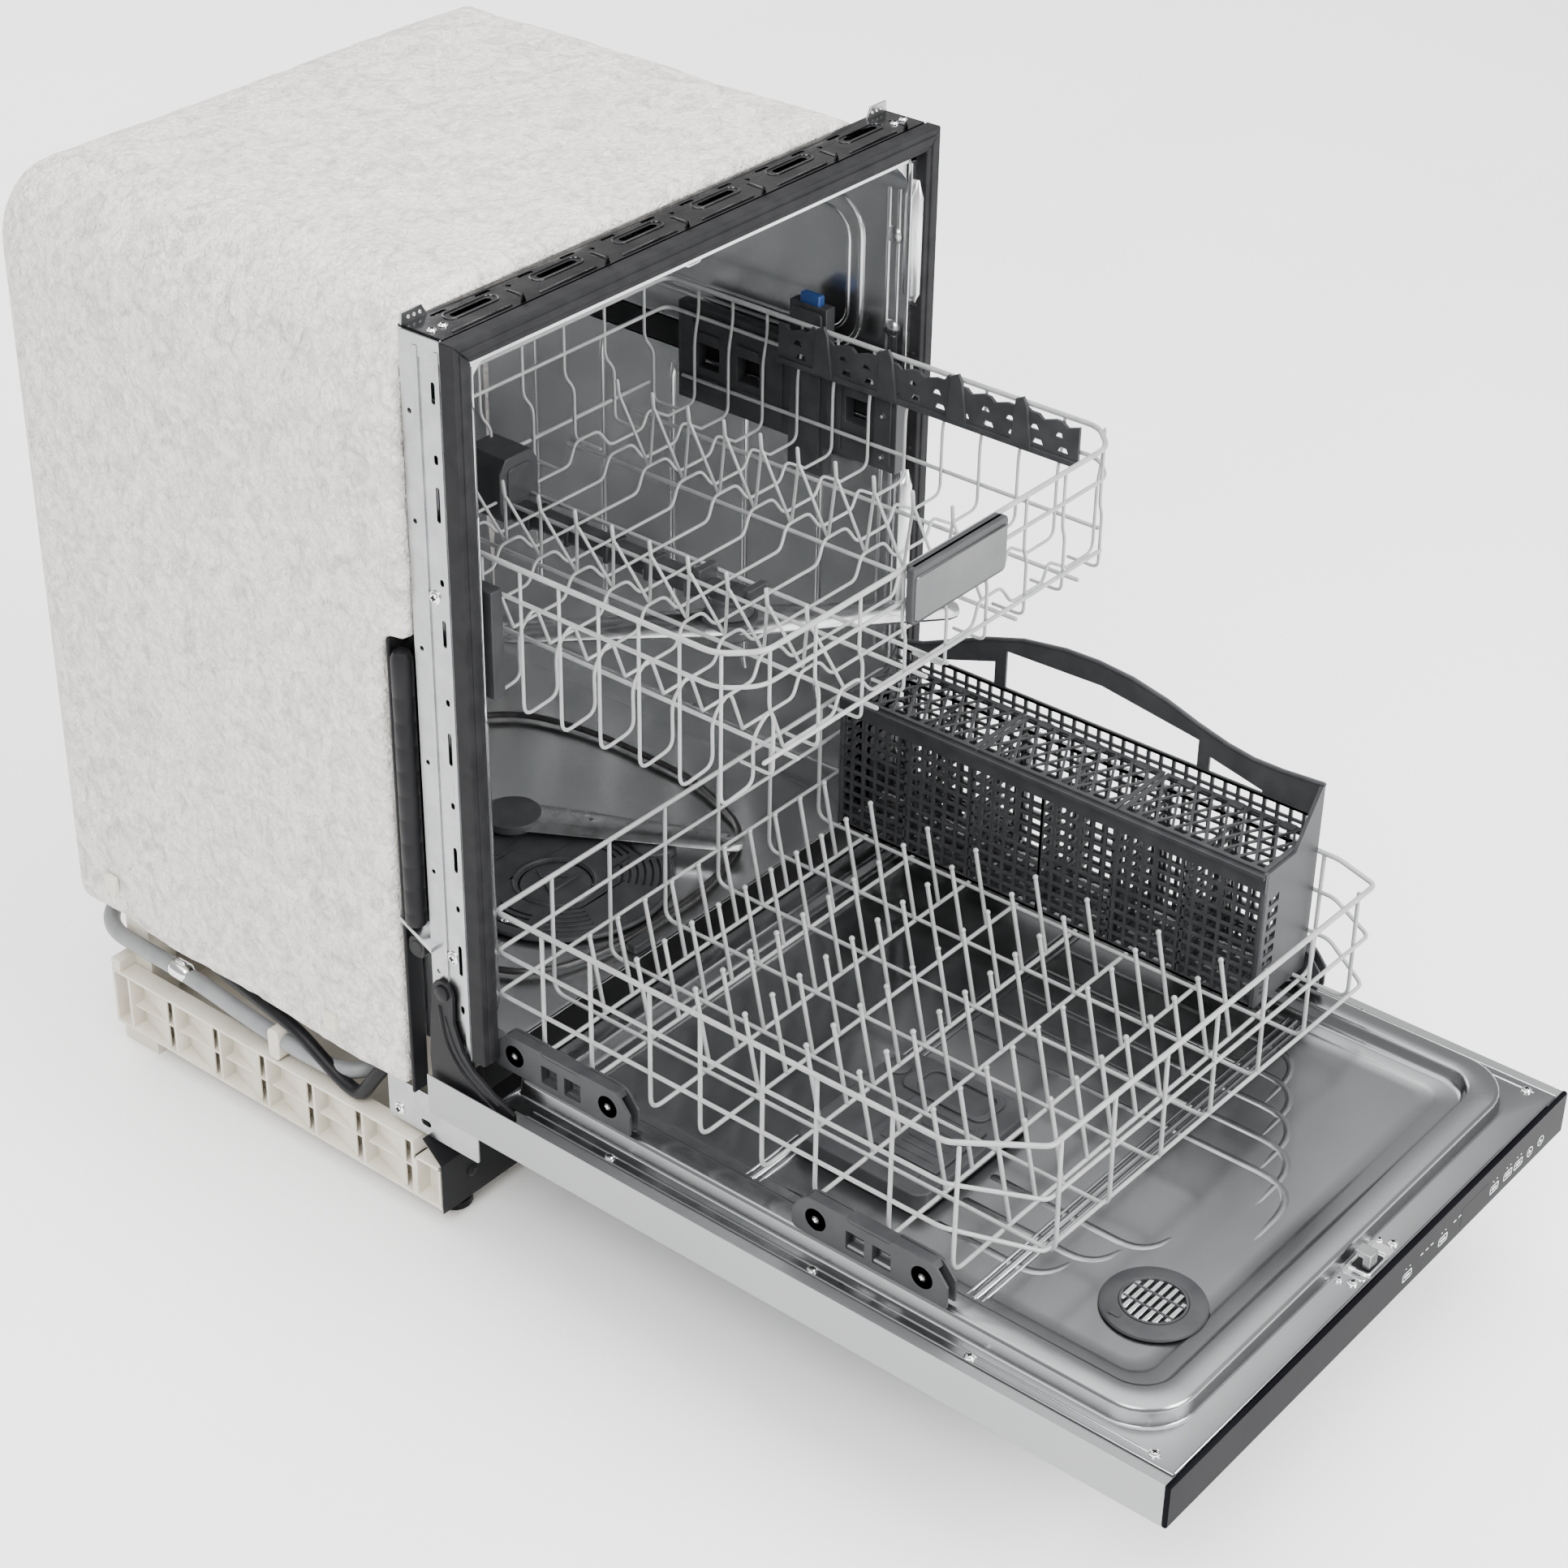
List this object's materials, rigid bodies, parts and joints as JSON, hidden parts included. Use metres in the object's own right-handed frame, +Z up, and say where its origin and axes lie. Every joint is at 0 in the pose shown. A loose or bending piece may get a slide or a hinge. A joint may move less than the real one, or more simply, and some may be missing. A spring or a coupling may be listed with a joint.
{
  "type": "built in dishwasher",
  "caption": "Front-opening built-in dishwasher with a drop-down door, steel tub, pull-out wire racks, spray arms, cutlery basket and an insulation wrap.",
  "frame": {"origin": "centre of the bounding box at floor level, with the door open flat", "axes": "+Z up, +X to the right as seen from the front, +Y towards the back; the door opens towards -Y"},
  "size_m": [0.606, 1.253, 0.872],
  "materials": {
    "felt": "needled felt, warm off-white",
    "galvanised": "spangled galvanised sheet",
    "tub_steel": "bright stainless",
    "door_steel": "satin stainless",
    "cream_plastic": "moulded, slightly glossy",
    "black_paint": "satin black",
    "black_rubber": "matt",
    "dark_plastic": "fine texture",
    "gloss_black": "polished",
    "rack_nylon": "nylon-coated wire, satin",
    "blue_plastic": "smooth",
    "arm_steel": "bright",
    "hose_grey": "ribbed, matt",
    "heater_black": "oxidised sheath"
  },
  "bodies": {
    "cabinet": {"base_pan": "cream_plastic", "toe_kick": "black_paint", "wash_motor": "black_paint", "drain_hose": "hose_grey", "tub_wrapper": "tub_steel", "tub_back": "tub_steel", "tub_floor": "tub_steel", "filter_plate": "dark_plastic", "heating_element": "heater_black", "front_frame": "galvanised", "tub_seal": "black_rubber", "insulation_blanket": "felt"},
    "levelling_leg_left": {"levelling_leg_left": "black_paint"},
    "levelling_leg_right": {"levelling_leg_right": "black_paint"},
    "filter_cup": {"filter_cup": "dark_plastic"},
    "lower_spray_arm": {"lower_spray_arm": "arm_steel"},
    "upper_rails": {"upper_rail_left": "black_paint", "upper_rail_right": "black_paint"},
    "rack_carriage": {"rack_adjuster_left": "dark_plastic", "rack_adjuster_right": "dark_plastic"},
    "adjuster_button_left": {"adjuster_button_left": "blue_plastic"},
    "adjuster_button_right": {"adjuster_button_right": "blue_plastic"},
    "upper_rack": {"upper_rack_floor": "rack_nylon", "upper_rack_left": "rack_nylon", "upper_rack_right": "rack_nylon", "upper_rack_front": "rack_nylon", "upper_rack_back": "rack_nylon", "upper_rack_handle": "arm_steel", "rack_feed_tube": "dark_plastic"},
    "cup_shelf": {"cup_shelf": "dark_plastic"},
    "upper_spray_arm": {"upper_spray_arm": "arm_steel"},
    "door": {"door_outer": "door_steel", "door_liner": "door_steel", "control_panel": "gloss_black", "detergent_dispenser": "dark_plastic", "hinge_arm_left": "black_paint", "hinge_arm_right": "black_paint"},
    "dispenser_lid": {"dispenser_lid": "dark_plastic"},
    "door_latch_hook": {"door_latch_hook": "galvanised"},
    "lower_rack": {"lower_rack_floor": "rack_nylon", "lower_rack_left": "rack_nylon", "lower_rack_right": "rack_nylon", "lower_rack_front": "rack_nylon", "lower_rack_back": "rack_nylon", "wheel_carrier_rear_left": "dark_plastic", "wheel_carrier_front_left": "dark_plastic", "wheel_carrier_rear_right": "dark_plastic", "wheel_carrier_front_right": "dark_plastic", "cutlery_basket": "dark_plastic"},
    "cutlery_lid_1": {"cutlery_lid_1": "dark_plastic"},
    "cutlery_lid_2": {"cutlery_lid_2": "dark_plastic"},
    "cutlery_lid_3": {"cutlery_lid_3": "dark_plastic"},
    "rack_roller_rear_left_1": {"rack_roller_rear_left_1": "dark_plastic"},
    "rack_roller_rear_left_2": {"rack_roller_rear_left_2": "dark_plastic"},
    "rack_roller_front_left_1": {"rack_roller_front_left_1": "dark_plastic"},
    "rack_roller_front_left_2": {"rack_roller_front_left_2": "dark_plastic"},
    "rack_roller_rear_right_1": {"rack_roller_rear_right_1": "dark_plastic"},
    "rack_roller_rear_right_2": {"rack_roller_rear_right_2": "dark_plastic"},
    "rack_roller_front_right_1": {"rack_roller_front_right_1": "dark_plastic"},
    "rack_roller_front_right_2": {"rack_roller_front_right_2": "dark_plastic"}
  },
  "joints": [
    {"name": "door_hinge", "type": "hinge", "parent": "cabinet", "child": "door", "pos_m": [0, 0.1115, 0.15], "axis": [-1, 0, 0], "range_deg": [0, 12]},
    {"name": "lower_rack_slide", "type": "slide", "parent": "door", "child": "lower_rack", "axis": [0, -1, 0], "range_m": [-0.505, 0]},
    {"name": "upper_rack_slide", "type": "slide", "parent": "cabinet", "child": "rack_carriage", "axis": [0, -1, 0], "range_m": [-0.26, 0]},
    {"name": "upper_rail_slide", "type": "slide", "parent": "cabinet", "child": "upper_rails", "axis": [0, -1, 0], "range_m": [-0.135, 0.005]},
    {"name": "upper_rack_lift", "type": "slide", "parent": "rack_carriage", "child": "upper_rack", "axis": [0, 0, 1], "range_m": [0, 0.05]},
    {"name": "adjuster_button_left_press", "type": "slide", "parent": "rack_carriage", "child": "adjuster_button_left", "axis": [0, 0, -1], "range_m": [0, 0.006], "stiffness_N_per_m": 400},
    {"name": "adjuster_button_right_press", "type": "slide", "parent": "rack_carriage", "child": "adjuster_button_right", "axis": [0, 0, -1], "range_m": [0, 0.006], "stiffness_N_per_m": 400},
    {"name": "cup_shelf_fold", "type": "hinge", "parent": "upper_rack", "child": "cup_shelf", "pos_m": [0.243, 0.1115, 0.624], "axis": [0, -1, 0], "range_deg": [0, 90]},
    {"name": "upper_spray_arm_spin", "type": "hinge", "parent": "upper_rack", "child": "upper_spray_arm", "pos_m": [0, 0.0465, 0.512], "axis": [0, 0, 1], "continuous": true},
    {"name": "lower_spray_arm_spin", "type": "hinge", "parent": "cabinet", "child": "lower_spray_arm", "pos_m": [0, 0.3115, 0.205], "axis": [0, 0, 1], "continuous": true},
    {"name": "filter_cup_twist", "type": "hinge", "parent": "cabinet", "child": "filter_cup", "pos_m": [-0.044, 0.2155, 0.19], "axis": [0, 0, 1], "range_deg": [0, 90]},
    {"name": "levelling_leg_left_turn", "type": "hinge", "parent": "cabinet", "child": "levelling_leg_left", "pos_m": [-0.262, 0.1415, 0.01], "axis": [0, 0, 1], "continuous": true},
    {"name": "levelling_leg_right_turn", "type": "hinge", "parent": "cabinet", "child": "levelling_leg_right", "pos_m": [0.262, 0.1415, 0.01], "axis": [0, 0, 1], "continuous": true},
    {"name": "dispenser_lid_slide", "type": "slide", "parent": "door", "child": "dispenser_lid", "axis": [0, 1, 0], "range_m": [0, 0.058]},
    {"name": "door_latch_hook_turn", "type": "hinge", "parent": "door", "child": "door_latch_hook", "pos_m": [0, -0.615, 0.174], "axis": [1, 0, 0], "range_deg": [0, 18], "stiffness_Nm_per_rad": 0.3},
    {"name": "cutlery_lid_1_hinge", "type": "hinge", "parent": "lower_rack", "child": "cutlery_lid_1", "pos_m": [0.2525, 0.1115, 0.3568], "axis": [0, 1, 0], "range_deg": [0, 90]},
    {"name": "cutlery_lid_2_hinge", "type": "hinge", "parent": "lower_rack", "child": "cutlery_lid_2", "pos_m": [0.2525, 0.1115, 0.3568], "axis": [0, 1, 0], "range_deg": [0, 90]},
    {"name": "cutlery_lid_3_hinge", "type": "hinge", "parent": "lower_rack", "child": "cutlery_lid_3", "pos_m": [0.2525, 0.1115, 0.3568], "axis": [0, 1, 0], "range_deg": [0, 90]},
    {"name": "rack_roller_rear_left_1_roll", "type": "hinge", "parent": "lower_rack", "child": "rack_roller_rear_left_1", "pos_m": [-0.269, 0.0445, 0.203], "axis": [1, 0, 0], "range_deg": [-2400, 20]},
    {"name": "rack_roller_rear_left_2_roll", "type": "hinge", "parent": "lower_rack", "child": "rack_roller_rear_left_2", "pos_m": [-0.269, -0.0535, 0.203], "axis": [1, 0, 0], "range_deg": [-2400, 20]},
    {"name": "rack_roller_front_left_1_roll", "type": "hinge", "parent": "lower_rack", "child": "rack_roller_front_left_1", "pos_m": [-0.269, -0.2775, 0.203], "axis": [1, 0, 0], "range_deg": [-2400, 20]},
    {"name": "rack_roller_front_left_2_roll", "type": "hinge", "parent": "lower_rack", "child": "rack_roller_front_left_2", "pos_m": [-0.269, -0.3755, 0.203], "axis": [1, 0, 0], "range_deg": [-2400, 20]},
    {"name": "rack_roller_rear_right_1_roll", "type": "hinge", "parent": "lower_rack", "child": "rack_roller_rear_right_1", "pos_m": [0.269, 0.0445, 0.203], "axis": [1, 0, 0], "range_deg": [-2400, 20]},
    {"name": "rack_roller_rear_right_2_roll", "type": "hinge", "parent": "lower_rack", "child": "rack_roller_rear_right_2", "pos_m": [0.269, -0.0535, 0.203], "axis": [1, 0, 0], "range_deg": [-2400, 20]},
    {"name": "rack_roller_front_right_1_roll", "type": "hinge", "parent": "lower_rack", "child": "rack_roller_front_right_1", "pos_m": [0.269, -0.2775, 0.203], "axis": [1, 0, 0], "range_deg": [-2400, 20]},
    {"name": "rack_roller_front_right_2_roll", "type": "hinge", "parent": "lower_rack", "child": "rack_roller_front_right_2", "pos_m": [0.269, -0.3755, 0.203], "axis": [1, 0, 0], "range_deg": [-2400, 20]}
  ],
  "couplings": [
    {"joint": "upper_rail_slide", "follows": "upper_rack_slide", "ratio": 0.5},
    {"joint": "rack_roller_rear_left_1_roll", "follows": "lower_rack_slide", "rad_per_m": 81.967},
    {"joint": "rack_roller_rear_left_2_roll", "follows": "lower_rack_slide", "rad_per_m": 81.967},
    {"joint": "rack_roller_front_left_1_roll", "follows": "lower_rack_slide", "rad_per_m": 81.967},
    {"joint": "rack_roller_front_left_2_roll", "follows": "lower_rack_slide", "rad_per_m": 81.967},
    {"joint": "rack_roller_rear_right_1_roll", "follows": "lower_rack_slide", "rad_per_m": 81.967},
    {"joint": "rack_roller_rear_right_2_roll", "follows": "lower_rack_slide", "rad_per_m": 81.967},
    {"joint": "rack_roller_front_right_1_roll", "follows": "lower_rack_slide", "rad_per_m": 81.967},
    {"joint": "rack_roller_front_right_2_roll", "follows": "lower_rack_slide", "rad_per_m": 81.967}
  ]
}
